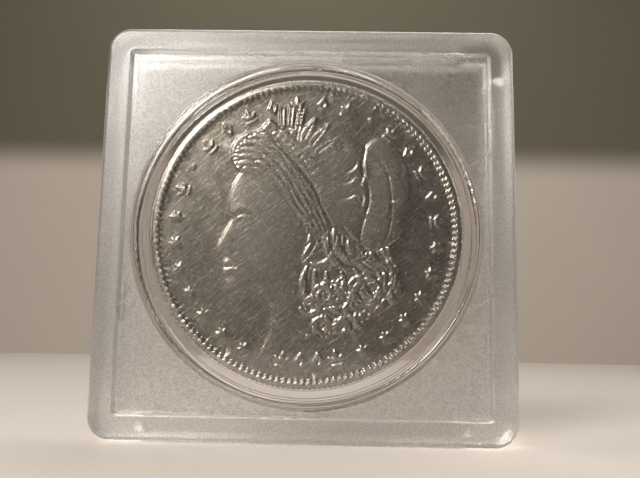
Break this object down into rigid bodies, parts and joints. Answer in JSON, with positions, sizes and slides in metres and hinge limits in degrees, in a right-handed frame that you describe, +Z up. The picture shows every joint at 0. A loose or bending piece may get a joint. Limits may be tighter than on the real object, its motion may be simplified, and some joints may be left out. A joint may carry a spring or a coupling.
{
  "type": "coin capsule",
  "caption": "Square clear snap-together coin case that stands on edge, with a round cell between two clear windows and a large worn silver coin inside.",
  "frame": {"origin": "middle of the bottom edge that the case stands on, halfway through its thickness, at the parting line", "axes": "+Z up, +X to the right as seen from the front, -Y out of the front cover, so Y runs through the thickness"},
  "size_m": [0.0508, 0.0064, 0.0508],
  "materials": {
    "clear_plastic": "clear moulded polystyrene, polished windows and satin rim and field",
    "worn_silver": "worn, lightly toned silver with fine handling marks"
  },
  "bodies": {
    "rear": {"rear_shell": "clear_plastic"},
    "front": {"front_cover": "clear_plastic"},
    "coin": {"coin": "worn_silver"}
  },
  "joints": [
    {"name": "cover_pull", "type": "slide", "parent": "rear", "child": "front", "axis": [0, -1, 0], "range_m": [0, 0.03]},
    {"name": "coin_lift", "type": "slide", "parent": "rear", "child": "coin", "axis": [0, -1, 0], "range_m": [0, 0.015]}
  ],
  "couplings": [
    {"joint": "coin_lift", "follows": "cover_pull", "ratio": 0.5}
  ]
}
